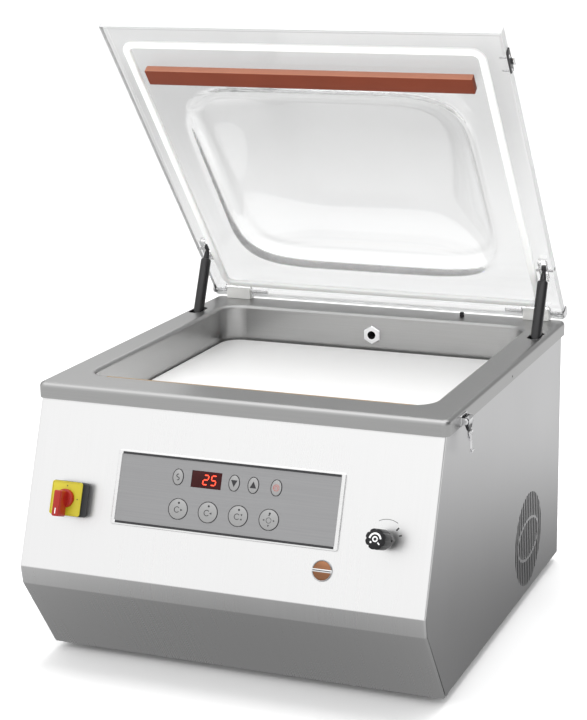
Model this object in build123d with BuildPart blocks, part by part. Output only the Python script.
"""Table-top chamber vacuum packing machine with a clear domed lid, shown with the lid open.

Frame: origin on the bench under the middle of the footprint, +X to the operator's right,
+Y to the back, +Z up.  Units are millimetres and degrees.
"""
from build123d import *
from math import atan2, cos, degrees, hypot, radians, sin
import os

os.makedirs("parts", exist_ok=True)

# ---------------------------------------------------------------- driving dimensions
rim_width = 545.0          # the tank's top flange, outside
rim_depth = 540.0
rim_front_y = -227.0
rim_top = 361.0            # height of the flange above the bench
lip_height = 20.0          # the flange's turned-down edge
tank_wall = 2.5
rim_corner = 9.0
rim_edge_radius = 6.0

well_width = 462.0         # the vacuum chamber
well_front_y = -172.0
well_rear_y = 255.0
well_corner = 30.0
well_depth = 140.0
mouth_radius = 5.0         # rolled edge between flange and well

housing_width = 537.0
sheet = 2.0
foot_height = 10.0
front_top_y = -224.0       # top of the sloping front panel
brow_y = -300.3            # lower edge of the sloping panel, the machine's foremost line
brow_z = 141.7
band_bottom_y = -296.9     # short band under the brow
band_bottom_z = 117.4
kick_bottom_y = -227.5     # the kick panel slopes back to the base
rear_y = 302.6

hinge_y = 303.6            # lid hinge axis
hinge_above_rim = 14.0
lid_open_angle = 52.07     # from the closed lid to the gas springs' stop
lid_width = 543.0
lid_thickness = 14.0
lid_rear_margin = 9.0      # hinge axis to the lid's rear edge
lid_length = 536.7
hinge_block_x = 232.0
hinge_block_width = 38.0
hinge_block_depth = 16.0
hinge_block_radius = 8.0
hinge_pin_radius = 4.0
running_gap = 0.05

spring_x = 257.0
spring_pin_reach = 92.3    # hinge axis to the gas springs' upper pins
spring_foot_y = 142.7      # lower pivots, inside the housing
spring_foot_z = 210.0
spring_tube_radius = 7.5
spring_rod_radius = 3.0
tube_start = 18.0          # distances from the upper pin down the spring
tube_end = 148.0
piston_at = 130.0

slot_y = 207.0             # openings in the flange for the springs
switch_pin_spot = (124.8, 288.0)
switch_pin_radius = 3.2

port_z = 332.7             # vacuum port in the chamber's rear wall
port_nut_depth = 7.0
port_nut_radius = 14.2
board_thickness = 30.0
board_count = 3
board_gap = 0.6            # from the port nut's face to the boards' rear edge
seal_bar_y = -145.4
seal_bar_length = 446.0
seal_bar_below_rim = 11.5
seal_rod_x = 150.0
seal_rod_radius = 6.0
counter_bar_length = 450.0
counter_bar_width = 24.0
counter_bar_height = 10.0

vent_y = 142.7
vent_z = 88.3
vent_radius = 66.0
vent_slot_pitch = 8.8
vent_slot_width = 5.6
fan_y = 147.0
fan_z = 88.0

# places on the sloping panel: across it, and down it from its top edge (negative)
switch_spot = (-206, -123)
keypad_spot = (1.5, -101)
display_spot = (-27, -81)
air_spot = (210, -127)
badge_spot = (135.3, -171.8)
small_keys = {
    "program_key": (-65, -81),
    "down_key": (10, -81),
    "up_key": (35.3, -81),
    "stop_key": (65.4, -81),
}
round_keys = {
    "vacuum_key": (-60, -119.8),
    "gas_key": (-19.9, -119.8),
    "seal_key": (20.2, -119.8),
    "vent_key": (60.6, -119.8),
}

# places on the rear panel: across it, and height above the bench
inlet_spot = (200, 60)
outlet_spot = (-60, 70)
louvre_x = 165.0
louvre_z = 180.0

# ---------------------------------------------------------------- worked-out values
rim_centre_y = rim_front_y + rim_depth / 2
lip_bottom = rim_top - lip_height
lip_inner_width = rim_width - 2 * tank_wall
lip_inner_depth = rim_depth - 2 * tank_wall
well_mid_y = (well_front_y + well_rear_y) / 2
well_length = well_rear_y - well_front_y
well_floor = rim_top - well_depth
board_top = well_floor + board_count * board_thickness
hinge_z = rim_top + hinge_above_rim
side_x = housing_width / 2
base_top = foot_height + sheet
panel_run = hypot(brow_y - front_top_y, lip_bottom - brow_z)
panel_tilt = degrees(atan2(front_top_y - brow_y, lip_bottom - brow_z))
lean = radians(lid_open_angle)

# The sloping panel's outer face: x across, y up the slope, z outwards.
panel_plane = Plane(
    origin=(0, front_top_y, lip_bottom),
    x_dir=(1, 0, 0),
    z_dir=(0, -cos(radians(panel_tilt)), sin(radians(panel_tilt))),
)
# The lid's middle plane at the hinge axis: x across, y to the lid's rear edge, z outwards.
lid_plane = Plane(
    origin=(0, hinge_y, hinge_z),
    x_dir=(1, 0, 0),
    z_dir=(0, sin(lean), cos(lean)),
)
lid_under = -lid_thickness / 2
lid_front = lid_rear_margin - lid_length
lid_mid = lid_rear_margin - lid_length / 2
counter_bar_from_hinge = hinge_y - seal_bar_y
seal_rod_spots = [(-seal_rod_x, seal_bar_y), (seal_rod_x, seal_bar_y)]

spring_pin_y = hinge_y - spring_pin_reach * cos(lean)
spring_pin_z = hinge_z + spring_pin_reach * sin(lean)
spring_length = hypot(spring_pin_y - spring_foot_y, spring_pin_z - spring_foot_z)
spring_up = (
    0,
    (spring_pin_y - spring_foot_y) / spring_length,
    (spring_pin_z - spring_foot_z) / spring_length,
)

# ---------------------------------------------------------------- tank and housing
with BuildPart() as chamber_tank:
    with BuildSketch(Plane.XY.offset(lip_bottom)):
        with Locations((0, rim_centre_y)):
            RectangleRounded(rim_width, rim_depth, rim_corner)
    extrude(amount=lip_height)
    fillet(chamber_tank.faces().sort_by(Axis.Z)[-1].edges(), rim_edge_radius)
    with BuildSketch(Plane.XY.offset(lip_bottom)):
        with Locations((0, rim_centre_y)):
            RectangleRounded(lip_inner_width, lip_inner_depth, tank_wall)
    extrude(amount=lip_height - tank_wall, mode=Mode.SUBTRACT)
    with BuildSketch(Plane.XY.offset(well_floor - tank_wall)):
        with Locations((0, well_mid_y)):
            RectangleRounded(
                well_width + 2 * tank_wall, well_length + 2 * tank_wall, well_corner + tank_wall
            )
    extrude(amount=well_depth)
    with BuildSketch(Plane.XY.offset(well_floor)):
        with Locations((0, well_mid_y)):
            RectangleRounded(well_width, well_length, well_corner)
    extrude(amount=well_depth, mode=Mode.SUBTRACT)
    mouth = chamber_tank.faces().sort_by(Axis.Z)[-1].inner_wires()[0]
    fillet(mouth.edges(), mouth_radius)
    with BuildSketch(Plane.XY.offset(lip_bottom)):
        with Locations((-spring_x, slot_y), (spring_x, slot_y)):
            SlotOverall(40, 18, rotation=90)
        with Locations(switch_pin_spot):
            Circle(switch_pin_radius + 0.1)
    extrude(amount=lip_height, mode=Mode.SUBTRACT)
    with BuildSketch(Plane.XY.offset(well_floor - tank_wall)):
        with Locations(*seal_rod_spots):
            Circle(seal_rod_radius + 0.2)
    extrude(amount=tank_wall, mode=Mode.SUBTRACT)
    with BuildSketch(Plane.XZ.offset(-well_rear_y - tank_wall)):
        with Locations((0, port_z)):
            Circle(8.1)
    extrude(amount=tank_wall, mode=Mode.SUBTRACT)
    with BuildSketch(Plane.YZ.offset(rim_width / 2 - tank_wall)):
        with Locations((38.4, 347.3)):
            Circle(1.5)
    extrude(amount=tank_wall, mode=Mode.SUBTRACT)
chamber_tank.part.label = "chamber_tank"
export_step(chamber_tank.part, "parts/chamber_tank.step")

with BuildPart() as front_panel:
    with BuildSketch(Plane.YZ.offset(-side_x)):
        with BuildLine():
            FilletPolyline(
                (front_top_y + 1, rim_top - 6),
                (front_top_y, lip_bottom),
                (brow_y, brow_z),
                (band_bottom_y, band_bottom_z),
                (kick_bottom_y, foot_height),
                (kick_bottom_y + 15, foot_height),
                radius=4,
            )
            offset(amount=sheet, side=Side.LEFT)
        make_face()
    extrude(amount=housing_width)
    # holes for the switch shaft, the air valve and the keypad cable
    with BuildSketch(panel_plane.offset(-sheet - 2)):
        with Locations(switch_spot):
            Circle(11)
        with Locations(air_spot):
            Circle(6)
        with Locations((0, keypad_spot[1])):
            Rectangle(60, 20)
    extrude(amount=sheet + 4, mode=Mode.SUBTRACT)
front_panel.part.label = "front_panel"
export_step(front_panel.part, "parts/front_panel.step")

# Side panels follow the front panel's fold, one joint gap behind it.
fold_gap = sheet + 1.0
side_outline = [
    (front_top_y + 1 + fold_gap, rim_top - 5),
    (front_top_y + fold_gap + 0.1, lip_bottom),
    (brow_y + fold_gap + 1.2, brow_z),
    (band_bottom_y + fold_gap + 1.4, band_bottom_z + 1),
    (kick_bottom_y + fold_gap + 2, base_top + 1),
    (rear_y - sheet - 0.5, base_top + 1),
    (rear_y - sheet - 0.5, rim_top - 5),
]
for side_name, side_sign in (("left", -1), ("right", 1)):
    inner_face = side_x - sheet if side_sign > 0 else -side_x
    with BuildPart() as side_panel:
        with BuildSketch(Plane.YZ.offset(inner_face)):
            with BuildLine():
                Polyline(*side_outline, close=True)
            make_face()
        extrude(amount=sheet)
        if side_sign > 0:
            with BuildSketch(Plane.YZ.offset(inner_face)):
                with Locations((vent_y, vent_z)):
                    with GridLocations(vent_slot_pitch, 0, 15, 1):
                        Rectangle(vent_slot_width, 2 * vent_radius)
                    Circle(vent_radius, mode=Mode.INTERSECT)
                    Ellipse(52, 30, mode=Mode.SUBTRACT)
            extrude(amount=sheet, mode=Mode.SUBTRACT)
            with BuildSketch(Plane.YZ.offset(inner_face)):
                with Locations((vent_y, vent_z)):
                    with GridLocations(vent_slot_pitch, 0, 11, 1):
                        Rectangle(vent_slot_width, 60)
                    Ellipse(48.5, 26.5, mode=Mode.INTERSECT)
            extrude(amount=sheet, mode=Mode.SUBTRACT)
    side_panel.part.label = f"{side_name}_side_panel"
    export_step(side_panel.part, f"parts/{side_name}_side_panel.step")

with BuildPart() as rear_panel:
    with BuildSketch(Plane.XZ.offset(-rear_y)) as rear_outline:
        with Locations((0, (base_top + rim_top - 5) / 2 + 0.5)):
            Rectangle(housing_width, rim_top - 6 - base_top)
        # louvre slots on both sides, the mains inlet and the pump outlet
        for slot_x in (-louvre_x, louvre_x):
            with Locations((slot_x, louvre_z)):
                with GridLocations(0, 12, 1, 9):
                    SlotOverall(110, 5, mode=Mode.SUBTRACT)
        with Locations(inlet_spot):
            Rectangle(30, 24, mode=Mode.SUBTRACT)
        with Locations(outlet_spot):
            Circle(14, mode=Mode.SUBTRACT)
    extrude(amount=sheet)
rear_panel.part.label = "rear_panel"
export_step(rear_panel.part, "parts/rear_panel.step")

with BuildPart() as base_plate:
    with BuildSketch(Plane.XY.offset(foot_height)):
        with Locations((0, (kick_bottom_y + 16 + rear_y - sheet - 0.5) / 2)):
            Rectangle(housing_width - 2 * sheet - 1, rear_y - sheet - 0.5 - kick_bottom_y - 16)
        with Locations((150, -60), (150, 200)):
            with GridLocations(14, 0, 5, 1):
                SlotOverall(60, 6, rotation=90, mode=Mode.SUBTRACT)
    extrude(amount=sheet)
base_plate.part.label = "base_plate"
export_step(base_plate.part, "parts/base_plate.step")

foot_spots = [(-215, -158), (215, -158), (-215, 252), (215, 252)]
with BuildPart() as rubber_feet:
    with BuildSketch():
        with Locations(*foot_spots):
            Circle(16)
    extrude(amount=foot_height, taper=8)
    fillet(rubber_feet.faces().filter_by(Axis.Z).group_by(Axis.Z)[0].edges(), 1.5)
rubber_feet.part.label = "rubber_feet"
export_step(rubber_feet.part, "parts/rubber_feet.step")

with BuildPart() as hinge_blocks:
    for block_x in (-hinge_block_x, hinge_block_x):
        with BuildSketch(Plane.YZ.offset(block_x - hinge_block_width / 2)):
            with Locations((hinge_y, rim_top + hinge_above_rim / 2)):
                Rectangle(hinge_block_depth, hinge_above_rim)
            with Locations((hinge_y, hinge_z)):
                Circle(hinge_block_radius)
                Circle(hinge_pin_radius + running_gap, mode=Mode.SUBTRACT)
        extrude(amount=hinge_block_width)
hinge_blocks.part.label = "hinge_blocks"
export_step(hinge_blocks.part, "parts/hinge_blocks.step")

# Lower spring brackets: two ears with a slanted slot, on an arm from the tank wall.
slot_tilt = degrees(atan2(spring_up[1], spring_up[2]))
with BuildPart() as spring_brackets:
    for side_sign in (-1, 1):
        for ear_offset in (-5.5, 5.5):
            with BuildSketch(Plane.YZ.offset(side_sign * spring_x + ear_offset - 1)):
                with Locations((spring_foot_y - 4, spring_foot_z - 4)):
                    Rectangle(44, 34)
                with Locations((spring_foot_y - 4, spring_foot_z + 1.7)):
                    SlotOverall(32, 9, rotation=-slot_tilt, mode=Mode.SUBTRACT)
            extrude(amount=2)
        arm_inner = well_width / 2 + tank_wall
        arm_outer = spring_x + 6.5
        with BuildSketch(Plane.XY.offset(spring_foot_z - 21)):
            with Locations((side_sign * (arm_inner + arm_outer) / 2, spring_foot_y - 4)):
                Rectangle(arm_outer - arm_inner, 44)
        extrude(amount=3)
        with BuildSketch(Plane.XY.offset(spring_foot_z - 18)):
            with Locations((side_sign * (arm_inner + 1.25), spring_foot_y - 4)):
                Rectangle(2.5, 44)
        extrude(amount=60)
spring_brackets.part.label = "spring_brackets"
export_step(spring_brackets.part, "parts/spring_brackets.step")

# ---------------------------------------------------------------- chamber fittings
with BuildPart() as vacuum_port_nut:
    with BuildSketch(Plane.XZ.offset(-well_rear_y)):
        with Locations((0, port_z)):
            RegularPolygon(port_nut_radius, 6, rotation=30)
    extrude(amount=port_nut_depth)
    chamfer(vacuum_port_nut.faces().sort_by(Axis.Y)[0].edges(), 1)
    with BuildSketch(Plane.XZ.offset(-well_rear_y)):
        with Locations((0, port_z)):
            Circle(6)
    extrude(amount=port_nut_depth, mode=Mode.SUBTRACT)
vacuum_port_nut.part.label = "vacuum_port_nut"
export_step(vacuum_port_nut.part, "parts/vacuum_port_nut.step")

pump_rear_y = 97.0
hose_z = 112.0
with BuildPart() as vacuum_hose:
    with BuildLine(Plane.YZ) as hose_path:
        FilletPolyline(
            (well_rear_y + tank_wall, port_z),
            (well_rear_y + 24, port_z),
            (well_rear_y + 24, hose_z),
            (pump_rear_y, hose_z),
            radius=20,
        )
    with BuildSketch(Plane.XZ.offset(-well_rear_y - tank_wall)):
        with Locations((0, port_z)):
            Circle(9)
            Circle(6, mode=Mode.SUBTRACT)
    sweep(path=hose_path.wires()[0])
vacuum_hose.part.label = "vacuum_hose"
export_step(vacuum_hose.part, "parts/vacuum_hose.step")

with BuildPart() as seal_bar:
    with BuildSketch(Plane.XY.offset(rim_top - seal_bar_below_rim - 25)):
        with Locations((0, seal_bar_y)):
            Rectangle(seal_bar_length, 20)
    extrude(amount=24.4)
    chamfer(seal_bar.faces().sort_by(Axis.Z)[0].edges().filter_by(Axis.X), 2)
seal_bar.part.label = "seal_bar"
export_step(seal_bar.part, "parts/seal_bar.step")

with BuildPart() as seal_bar_tape:
    with BuildSketch(Plane.XY.offset(rim_top - seal_bar_below_rim - 0.6)):
        with Locations((0, seal_bar_y)):
            Rectangle(seal_bar_length, 20)
    extrude(amount=0.6)
    for side_sign in (-1, 1):
        with BuildSketch(Plane.XY.offset(rim_top - seal_bar_below_rim - 14)):
            with Locations((0, seal_bar_y + side_sign * 10.3)):
                Rectangle(seal_bar_length, 0.6)
        extrude(amount=14)
seal_bar_tape.part.label = "seal_bar_tape"
export_step(seal_bar_tape.part, "parts/seal_bar_tape.step")

lift_cylinder_top = 305.0
with BuildPart() as seal_bar_rods:
    with BuildSketch(Plane.XY.offset(well_floor + 24)):
        with Locations(*seal_rod_spots):
            Circle(seal_rod_radius)
    extrude(amount=rim_top - seal_bar_below_rim - 25 - well_floor - 24)
seal_bar_rods.part.label = "seal_bar_rods"
export_step(seal_bar_rods.part, "parts/seal_bar_rods.step")

with BuildPart() as lift_cylinders:
    with BuildSketch(Plane.XY.offset(well_floor)):
        with Locations(*seal_rod_spots):
            Circle(15)
    extrude(amount=lift_cylinder_top - well_floor)
    with BuildSketch(Plane.XY.offset(well_floor + 10)):
        with Locations(*seal_rod_spots):
            Circle(seal_rod_radius + running_gap)
    extrude(amount=lift_cylinder_top - well_floor - 10, mode=Mode.SUBTRACT)
    fillet(lift_cylinders.faces().sort_by(Axis.Z)[-1].outer_wire().edges(), 2)
lift_cylinders.part.label = "lift_cylinders"
export_step(lift_cylinders.part, "parts/lift_cylinders.step")

board_front_y = -127.0
board_rear_y = well_rear_y - port_nut_depth - board_gap
board_names = ["bottom_board", "middle_board", "top_board"]
for level, board_name in enumerate(board_names):
    with BuildPart() as board:
        with BuildSketch(Plane.XY.offset(well_floor + level * board_thickness)):
            with Locations((0, (board_front_y + board_rear_y) / 2)):
                Rectangle(well_width - 5, board_rear_y - board_front_y)
        extrude(amount=board_thickness - 0.2)
        uprights = board.edges().filter_by(Axis.Z)
        fillet(uprights.group_by(Axis.Y)[-1], well_corner - 2)
        fillet(board.edges().filter_by(Axis.Z).group_by(Axis.Y)[0], 4)
        fillet(board.faces().sort_by(Axis.Z)[-1].edges(), 2)
    board.part.label = board_name
    export_step(board.part, f"parts/{board_name}.step")

with BuildPart() as lid_switch_pin:
    with BuildSketch(Plane.XY.offset(rim_top - 14)):
        with Locations(switch_pin_spot):
            Circle(switch_pin_radius)
    extrude(amount=20.4)
    fillet(lid_switch_pin.faces().sort_by(Axis.Z)[-1].edges(), 1.5)
lid_switch_pin.part.label = "lid_switch_pin"
export_step(lid_switch_pin.part, "parts/lid_switch_pin.step")

with BuildPart() as lid_switch:
    with BuildSketch(Plane.XY.offset(rim_top - 28)):
        with Locations(switch_pin_spot):
            Rectangle(28, 20)
    extrude(amount=28 - tank_wall)
    with BuildSketch(Plane.XY.offset(rim_top - 20)):
        with Locations(switch_pin_spot):
            Circle(switch_pin_radius + running_gap)
    extrude(amount=20, mode=Mode.SUBTRACT)
lid_switch.part.label = "lid_switch"
export_step(lid_switch.part, "parts/lid_switch.step")

# ---------------------------------------------------------------- lid
dome_mid_y = -243.5
dome_width = 404.0
dome_depth = 348.0
dome_corner = 95.0
dome_rise = 48.0
with BuildPart() as lid_plate:
    with BuildSketch(lid_plane.offset(lid_under)):
        with Locations((0, lid_mid)):
            RectangleRounded(lid_width, lid_length, 3)
    extrude(amount=lid_thickness)
    with BuildSketch(lid_plane.offset(-lid_under - 1)):
        with Locations((0, dome_mid_y)):
            RectangleRounded(dome_width, dome_depth, dome_corner)
    extrude(amount=dome_rise + 1, taper=38)
    with BuildSketch(lid_plane.offset(lid_under)):
        with Locations((0, dome_mid_y)):
            RectangleRounded(dome_width, dome_depth, dome_corner)
    extrude(amount=dome_rise + 8, taper=38, mode=Mode.SUBTRACT)
    # notches round the hinge blocks, pockets for the spring tips, bores for the pins
    with BuildSketch(lid_plane.offset(lid_under)):
        with Locations((-hinge_block_x, lid_rear_margin - 7), (hinge_block_x, lid_rear_margin - 7)):
            Rectangle(hinge_block_width + 3, 24)
        with Locations((-spring_x, -spring_pin_reach), (spring_x, -spring_pin_reach)):
            SlotOverall(40, 11, rotation=90)
    extrude(amount=lid_thickness, mode=Mode.SUBTRACT)
    for bore_start in (-lid_width / 2, 186):
        with BuildSketch(Plane.YZ.offset(bore_start)):
            with Locations((hinge_y, hinge_z)):
                Circle(hinge_pin_radius + running_gap)
        extrude(amount=lid_width / 2 - 186, mode=Mode.SUBTRACT)
    for bore_start in (-lid_width / 2, 246):
        with BuildSketch(Plane.YZ.offset(bore_start)):
            with Locations((spring_pin_y, spring_pin_z)):
                Circle(2.5 + running_gap)
        extrude(amount=lid_width / 2 - 246, mode=Mode.SUBTRACT)
lid_plate.part.label = "lid_plate"
export_step(lid_plate.part, "parts/lid_plate.step")

gasket_height = 7.0
gasket_front = lid_rear_margin - 515.0
gasket_back = lid_rear_margin - 30.0
with BuildPart() as lid_gasket:
    with BuildSketch(lid_plane.offset(lid_under)):
        with Locations((0, (gasket_front + gasket_back) / 2)):
            RectangleRounded(495, gasket_back - gasket_front, 16)
            RectangleRounded(469, gasket_back - gasket_front - 26, 8, mode=Mode.SUBTRACT)
    extrude(amount=-gasket_height + 0.3)
    fillet(lid_gasket.faces().sort_by(Axis(lid_plane.origin, lid_plane.z_dir))[0].edges(), 2)
lid_gasket.part.label = "lid_gasket"
export_step(lid_gasket.part, "parts/lid_gasket.step")

with BuildPart() as silicone_bar:
    with BuildSketch(lid_plane.offset(lid_under)):
        with Locations((0, -counter_bar_from_hinge)):
            Rectangle(counter_bar_length, counter_bar_width)
    extrude(amount=-counter_bar_height)
silicone_bar.part.label = "silicone_bar"
export_step(silicone_bar.part, "parts/silicone_bar.step")

with BuildPart() as hinge_pins:
    for pin_start in (-lid_width / 2, 186):
        with BuildSketch(Plane.YZ.offset(pin_start)):
            with Locations((hinge_y, hinge_z)):
                Circle(hinge_pin_radius)
        extrude(amount=lid_width / 2 - 186)
    for cap_start in (-lid_width / 2 - 3.5, lid_width / 2):
        with BuildSketch(Plane.YZ.offset(cap_start)):
            with Locations((hinge_y, hinge_z)):
                Circle(8.8)
        extrude(amount=3.5)
hinge_pins.part.label = "hinge_pins"
export_step(hinge_pins.part, "parts/hinge_pins.step")

with BuildPart() as spring_pins:
    for pin_start in (-lid_width / 2, 246):
        with BuildSketch(Plane.YZ.offset(pin_start)):
            with Locations((spring_pin_y, spring_pin_z)):
                Circle(2.5)
        extrude(amount=lid_width / 2 - 246)
spring_pins.part.label = "spring_pins"
export_step(spring_pins.part, "parts/spring_pins.step")

catch_from_hinge = -475.0
catch_plane = Plane(
    origin=lid_plane.from_local_coords((lid_width / 2, catch_from_hinge, 0)),
    x_dir=lid_plane.y_dir,
    z_dir=(1, 0, 0),
)
with BuildPart() as lid_catch:
    with BuildSketch(catch_plane):
        RectangleRounded(28, 11, 2)
    extrude(amount=2)
    with BuildSketch(catch_plane.offset(2)):
        with Locations((0, 3.5)):
            Rectangle(11, 2.5)
    extrude(amount=4)
    with BuildSketch(catch_plane.offset(2)):
        with Locations((-10.5, 0), (10.5, 0)):
            Circle(2.6)
    extrude(amount=1.4)
lid_catch.part.label = "lid_catch"
export_step(lid_catch.part, "parts/lid_catch.step")

# ---------------------------------------------------------------- gas springs
for side_name, side_sign in (("left", -1), ("right", 1)):
    spring_plane = Plane(
        origin=(side_sign * spring_x, spring_pin_y, spring_pin_z),
        x_dir=(1, 0, 0),
        z_dir=spring_up,
    )
    with BuildPart() as gas_tube:
        with BuildSketch(spring_plane.offset(-tube_end)):
            Circle(spring_tube_radius)
        extrude(amount=tube_end - tube_start)
        with BuildSketch(spring_plane.offset(-tube_end + 10)):
            Circle(spring_tube_radius - 1.5)
        extrude(amount=tube_end - tube_start - 16, mode=Mode.SUBTRACT)
        with BuildSketch(spring_plane.offset(-tube_end)):
            Circle(spring_rod_radius + running_gap)
        extrude(amount=10, mode=Mode.SUBTRACT)
        with BuildSketch(spring_plane.offset(-tube_start)):
            Circle(4.6)
        with BuildSketch(spring_plane.offset(-3)):
            Circle(3.2)
        loft()
        with BuildSketch(Plane.YZ.offset(side_sign * spring_x - 3.5)):
            with Locations((spring_pin_y, spring_pin_z)):
                Circle(4.8)
        extrude(amount=7)
        with BuildSketch(Plane.YZ.offset(side_sign * spring_x - 5)):
            with Locations((spring_pin_y, spring_pin_z)):
                Circle(2.5 + running_gap)
        extrude(amount=10, mode=Mode.SUBTRACT)
    gas_tube.part.label = f"{side_name}_gas_tube"
    export_step(gas_tube.part, f"parts/{side_name}_gas_tube.step")

    with BuildPart() as gas_rod:
        with BuildSketch(spring_plane.offset(-spring_length + 5)):
            Circle(spring_rod_radius)
        extrude(amount=spring_length - 5 - piston_at)
        with BuildSketch(spring_plane.offset(-piston_at)):
            Circle(spring_tube_radius - 1.5 - running_gap)
        extrude(amount=5)
        with BuildSketch(Plane.YZ.offset(side_sign * spring_x - 3.6)):
            with Locations((spring_foot_y, spring_foot_z)):
                Circle(7)
        extrude(amount=7.2)
        with BuildSketch(Plane.YZ.offset(side_sign * spring_x - 7.5)):
            with Locations((spring_foot_y, spring_foot_z)):
                Circle(3)
        extrude(amount=15)
    gas_rod.part.label = f"{side_name}_gas_rod"
    export_step(gas_rod.part, f"parts/{side_name}_gas_rod.step")

# ---------------------------------------------------------------- toggle latch
latch_y = -171.5
latch_pivot_x = rim_width / 2 + 6.5
latch_pivot_z = 348.5
with BuildPart() as latch_base:
    with BuildSketch(Plane.YZ.offset(rim_width / 2)):
        with Locations((latch_y, lip_bottom + 7.5)):
            RectangleRounded(24, 14, 1.5)
    extrude(amount=1.5)
    for ear_y in (latch_y - 11, latch_y + 11):
        with BuildSketch(Plane.XZ.offset(-ear_y - 0.75)):
            with Locations((rim_width / 2 + 5, latch_pivot_z)):
                Rectangle(9, 8)
        extrude(amount=1.5)
    with BuildSketch(Plane.XZ.offset(-latch_y - 11)):
        with Locations((latch_pivot_x, latch_pivot_z)):
            Circle(1.5)
    extrude(amount=22)
latch_base.part.label = "latch_base"
export_step(latch_base.part, "parts/latch_base.step")

claw_pivot_x = latch_pivot_x + 3.2
claw_pivot_z = 334.0
lever_tip_z = 306.0
with BuildPart() as latch_lever:
    with BuildSketch(Plane.XZ.offset(-latch_y - 9.5)):
        with Locations((latch_pivot_x, latch_pivot_z)):
            Circle(3.2)
    extrude(amount=19)
    with BuildSketch(Plane.YZ.offset(latch_pivot_x - 1)):
        with BuildLine():
            Polyline(
                (latch_y - 9.5, latch_pivot_z - 1),
                (latch_y + 9.5, latch_pivot_z - 1),
                (latch_y + 6, lever_tip_z + 4),
                (latch_y + 4, lever_tip_z),
                (latch_y - 4, lever_tip_z),
                (latch_y - 6, lever_tip_z + 4),
                close=True,
            )
        make_face()
    extrude(amount=2)
    for ear_y in (latch_y - 5.4, latch_y + 5.4):
        with BuildSketch(Plane.XZ.offset(-ear_y - 0.7)):
            with Locations((latch_pivot_x + 2.9, claw_pivot_z)):
                Rectangle(4.6, 5)
        extrude(amount=1.4)
    with BuildSketch(Plane.XZ.offset(-latch_y - 5)):
        with Locations((claw_pivot_x, claw_pivot_z)):
            Circle(0.9)
    extrude(amount=10)
    with BuildSketch(Plane.XZ.offset(-latch_y - 11)):
        with Locations((latch_pivot_x, latch_pivot_z)):
            Circle(1.5 + running_gap)
    extrude(amount=22, mode=Mode.SUBTRACT)
latch_lever.part.label = "latch_lever"
export_step(latch_lever.part, "parts/latch_lever.step")

with BuildPart() as latch_claw:
    with BuildSketch(Plane.XZ.offset(-latch_y - 4)):
        with Locations((claw_pivot_x, claw_pivot_z)):
            Circle(1.9)
        with Locations((claw_pivot_x, claw_pivot_z - 14)):
            Rectangle(1.4, 26)
        with Locations((claw_pivot_x + 1.4, claw_pivot_z - 26.3)):
            Rectangle(4.2, 1.4)
        with Locations((claw_pivot_x + 2.8, claw_pivot_z - 24.5)):
            Rectangle(1.4, 5)
        with Locations((claw_pivot_x, claw_pivot_z)):
            Circle(0.9 + running_gap, mode=Mode.SUBTRACT)
    extrude(amount=8)
latch_claw.part.label = "latch_claw"
export_step(latch_claw.part, "parts/latch_claw.step")

# ---------------------------------------------------------------- operator controls
with BuildPart() as switch_housing:
    with BuildSketch(panel_plane):
        with Locations(switch_spot):
            RectangleRounded(43, 43, 3)
    extrude(amount=16)
    with BuildSketch(panel_plane.offset(-sheet)):
        with Locations(switch_spot):
            Circle(10.5)
    extrude(amount=sheet)
    with BuildSketch(panel_plane.offset(-sheet - 40)):
        with Locations(switch_spot):
            RectangleRounded(44, 44, 3)
    extrude(amount=40)
switch_housing.part.label = "switch_housing"
export_step(switch_housing.part, "parts/switch_housing.step")

with BuildPart() as switch_plate:
    with BuildSketch(panel_plane.offset(16)):
        with Locations(switch_spot):
            RectangleRounded(42, 42, 2.5)
    extrude(amount=2)
switch_plate.part.label = "switch_plate"
export_step(switch_plate.part, "parts/switch_plate.step")

with BuildPart() as switch_knob:
    with BuildSketch(panel_plane.offset(18.2)):
        with Locations(switch_spot):
            Circle(13.5)
    extrude(amount=5)
    with BuildSketch(panel_plane.offset(22)):
        with Locations((switch_spot[0], switch_spot[1] - 7)):
            RectangleRounded(9, 32, 2)
    extrude(amount=19, taper=3)
switch_knob.part.label = "switch_knob"
export_step(switch_knob.part, "parts/switch_knob.step")

with BuildPart() as keypad_frame:
    with BuildSketch(panel_plane):
        with Locations(keypad_spot):
            RectangleRounded(301, 93, 3)
            RectangleRounded(291, 83, 1.5, mode=Mode.SUBTRACT)
    extrude(amount=2.5)
keypad_frame.part.label = "keypad_frame"
export_step(keypad_frame.part, "parts/keypad_frame.step")

key_gap = 0.3
with BuildPart() as keypad_sheet:
    with BuildSketch(panel_plane):
        with Locations(keypad_spot):
            RectangleRounded(290.8, 82.8, 1.4)
        with Locations(*small_keys.values()):
            Ellipse(7.3 + key_gap, 10.1 + key_gap, mode=Mode.SUBTRACT)
        with Locations(*round_keys.values()):
            Circle(13 + key_gap, mode=Mode.SUBTRACT)
        with Locations(display_spot):
            Rectangle(40.2, 20.7, mode=Mode.SUBTRACT)
    extrude(amount=1.8)
keypad_sheet.part.label = "keypad_sheet"
export_step(keypad_sheet.part, "parts/keypad_sheet.step")

with BuildPart() as display_window:
    with BuildSketch(panel_plane):
        with Locations(display_spot):
            Rectangle(40, 20.5)
    extrude(amount=1.6)
display_window.part.label = "display_window"
export_step(display_window.part, "parts/display_window.step")

for key_name, key_spot in {**small_keys, **round_keys}.items():
    with BuildPart() as key_cap:
        with BuildSketch(panel_plane.offset(0.9)):
            with Locations(key_spot):
                if key_name in small_keys:
                    Ellipse(7.3, 10.1)
                else:
                    Circle(13)
        extrude(amount=1.5)
        fillet(key_cap.faces().sort_by(Axis(panel_plane.origin, panel_plane.z_dir))[-1].edges(), 0.5)
    key_cap.part.label = key_name
    export_step(key_cap.part, f"parts/{key_name}.step")

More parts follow.
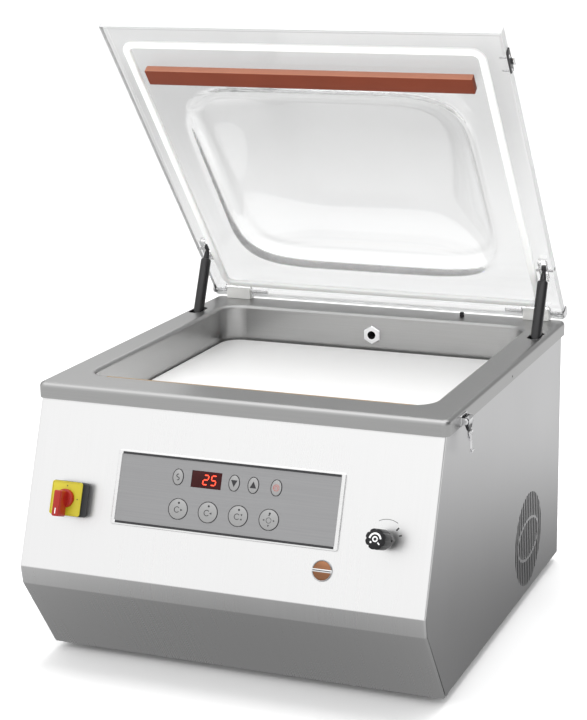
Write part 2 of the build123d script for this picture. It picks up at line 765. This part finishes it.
with BuildPart() as air_valve:
    with BuildSketch(panel_plane):
        with Locations(air_spot):
            RegularPolygon(10, 6)
    extrude(amount=5)
    with BuildSketch(panel_plane.offset(5)):
        with Locations(air_spot):
            Circle(6)
    extrude(amount=3)
    with BuildSketch(panel_plane.offset(8)):
        with Locations(air_spot):
            Circle(3)
    extrude(amount=20)
    with BuildSketch(panel_plane.offset(-sheet - 30)):
        with Locations(air_spot):
            Circle(5.8)
    extrude(amount=30 + sheet)
    with BuildSketch(panel_plane.offset(-sheet - 30)):
        with Locations(air_spot):
            Rectangle(24, 24)
    extrude(amount=20)
air_valve.part.label = "air_valve"
export_step(air_valve.part, "parts/air_valve.step")

with BuildPart() as air_knob:
    with BuildSketch(panel_plane.offset(10)):
        with Locations(air_spot):
            Circle(12.6)
        with Locations(air_spot):
            with PolarLocations(13.6, 8):
                Circle(2.6, mode=Mode.SUBTRACT)
    extrude(amount=30)
    fillet(air_knob.faces().sort_by(Axis(panel_plane.origin, panel_plane.z_dir))[-1].edges(), 0.8)
    with BuildSketch(panel_plane.offset(10)):
        with Locations(air_spot):
            Circle(3 + running_gap)
    extrude(amount=22, mode=Mode.SUBTRACT)
air_knob.part.label = "air_knob"
export_step(air_knob.part, "parts/air_knob.step")

with BuildPart() as badge_disc:
    with BuildSketch(panel_plane):
        with Locations(badge_spot):
            Circle(12.9)
    extrude(amount=2)
    fillet(badge_disc.faces().sort_by(Axis(panel_plane.origin, panel_plane.z_dir))[-1].edges(), 0.8)
badge_disc.part.label = "badge_disc"
export_step(badge_disc.part, "parts/badge_disc.step")

# ---------------------------------------------------------------- inside the housing
fan_face = side_x - sheet
with BuildPart() as fan_frame:
    with BuildSketch(Plane.YZ.offset(fan_face - 26)):
        with Locations((fan_y, fan_z)):
            RectangleRounded(120, 120, 6)
            Circle(57, mode=Mode.SUBTRACT)
            with GridLocations(105, 105, 2, 2):
                Circle(2.2, mode=Mode.SUBTRACT)
    extrude(amount=25)
    # motor mount: a disc on four struts behind the blades, with the spindle
    with BuildSketch(Plane.YZ.offset(fan_face - 26)):
        with Locations((fan_y, fan_z)):
            Circle(19)
            Rectangle(116, 5)
            Rectangle(5, 116)
    extrude(amount=4)
    with BuildSketch(Plane.YZ.offset(fan_face - 22)):
        with Locations((fan_y, fan_z)):
            Circle(3)
    extrude(amount=14)
fan_frame.part.label = "fan_frame"
export_step(fan_frame.part, "parts/fan_frame.step")

with BuildPart() as fan_rotor:
    with BuildSketch(Plane.YZ.offset(fan_face - 21)):
        with Locations((fan_y, fan_z)):
            Circle(18)
    extrude(amount=17)
    with BuildSketch(Plane.YZ.offset(fan_face - 16)):
        with Locations((fan_y, fan_z)):
            with PolarLocations(36, 7):
                Rectangle(38, 14, rotation=18)
    extrude(amount=2.4)
    with BuildSketch(Plane.YZ.offset(fan_face - 21)):
        with Locations((fan_y, fan_z)):
            Circle(3 + running_gap)
    extrude(amount=14, mode=Mode.SUBTRACT)
fan_rotor.part.label = "fan_rotor"
export_step(fan_rotor.part, "parts/fan_rotor.step")

pump_mid_x = -60.0
pump_mid_y = 25.0
with BuildPart() as vacuum_pump:
    with BuildSketch(Plane.XY.offset(base_top)):
        with Locations((pump_mid_x, pump_mid_y)):
            RectangleRounded(190, 140, 6)
    extrude(amount=10)
    with BuildSketch(Plane.XY.offset(base_top + 10)):
        with Locations((pump_mid_x, pump_mid_y)):
            RectangleRounded(150, 120, 12)
    extrude(amount=120)
    fillet(vacuum_pump.faces().sort_by(Axis.Z)[-1].edges(), 8)
    with BuildSketch(Plane.XZ.offset(-pump_mid_y - 60)):
        with Locations((0, hose_z)):
            Circle(12)
    extrude(amount=-(pump_rear_y - pump_mid_y - 60))
vacuum_pump.part.label = "vacuum_pump"
export_step(vacuum_pump.part, "parts/vacuum_pump.step")

with BuildPart() as pump_motor:
    with BuildSketch(Plane.YZ.offset(pump_mid_x + 75)):
        with Locations((pump_mid_y, base_top + 75)):
            Circle(58)
    extrude(amount=150)
    with BuildSketch(Plane.YZ.offset(pump_mid_x + 80)):
        with Locations((pump_mid_y, base_top + 75)):
            with PolarLocations(59.5, 24):
                Rectangle(7, 2.4)
    extrude(amount=120)
    with BuildSketch(Plane.XY.offset(base_top)):
        with Locations((pump_mid_x + 150, pump_mid_y)):
            Rectangle(90, 80)
    extrude(amount=30)
pump_motor.part.label = "pump_motor"
export_step(pump_motor.part, "parts/pump_motor.step")

with BuildPart() as exhaust_filter:
    with BuildSketch(Plane.XZ.offset(-pump_mid_y - 60)):
        with Locations(outlet_spot):
            Circle(30)
    extrude(amount=-130)
    with BuildSketch(Plane.XZ.offset(-pump_mid_y - 190)):
        with Locations(outlet_spot):
            Circle(13)
    extrude(amount=-(rear_y - pump_mid_y - 190))
exhaust_filter.part.label = "exhaust_filter"
export_step(exhaust_filter.part, "parts/exhaust_filter.step")

with BuildPart() as valve_block:
    with BuildSketch(Plane.XY.offset(base_top)):
        with Locations((60, 180)):
            Rectangle(60, 50)
    extrude(amount=40)
    with BuildSketch(Plane.XY.offset(base_top + 40)):
        with Locations((45, 180), (75, 180)):
            Circle(12)
    extrude(amount=45)
valve_block.part.label = "valve_block"
export_step(valve_block.part, "parts/valve_block.step")

with BuildPart() as transformer:
    with BuildSketch(Plane.XY.offset(base_top)):
        with Locations((-195, 180)):
            Rectangle(80, 70)
    extrude(amount=62)
    with BuildSketch(Plane.XY.offset(base_top + 62)):
        with Locations((-195, 180)):
            RectangleRounded(50, 50, 8)
    extrude(amount=8)
transformer.part.label = "transformer"
export_step(transformer.part, "parts/transformer.step")

with BuildPart() as control_board:
    with BuildSketch(panel_plane.offset(-sheet - 14)):
        with Locations((0, -101)):
            RectangleRounded(240, 80, 3)
    extrude(amount=1.6)
    with BuildSketch(panel_plane.offset(-sheet - 24)):
        with Locations((-80, -101), (70, -90)):
            Rectangle(40, 30)
        with Locations((0, -120)):
            Rectangle(60, 20)
    extrude(amount=10)
    with BuildSketch(panel_plane.offset(-sheet - 12.4)):
        with Locations((0, -101)):
            Rectangle(56, 16)
    extrude(amount=sheet + 12.4)
control_board.part.label = "control_board"
export_step(control_board.part, "parts/control_board.step")

with BuildPart() as mains_inlet:
    with BuildSketch(Plane.XZ.offset(-rear_y)):
        with Locations(inlet_spot):
            RectangleRounded(42, 30, 3)
    extrude(amount=-3)
    with BuildSketch(Plane.XZ.offset(-rear_y + 30)):
        with Locations(inlet_spot):
            Rectangle(29.6, 23.6)
    extrude(amount=-30)
    with BuildSketch(Plane.XZ.offset(-rear_y - 3)):
        with Locations(inlet_spot):
            RectangleRounded(24, 17, 2)
    extrude(amount=18, mode=Mode.SUBTRACT)
mains_inlet.part.label = "mains_inlet"
export_step(mains_inlet.part, "parts/mains_inlet.step")

with BuildPart() as rear_screws:
    with BuildSketch(Plane.XZ.offset(-rear_y)):
        with Locations((0, 184)):
            with GridLocations(508, 150, 2, 3):
                Circle(4)
        with Locations((-120, 22), (120, 22), (-120, 340), (120, 340)):
            Circle(4)
    extrude(amount=-2.4)
    fillet(rear_screws.faces().sort_by(Axis.Y)[-10:].edges(), 1)
rear_screws.part.label = "rear_screws"
export_step(rear_screws.part, "parts/rear_screws.step")
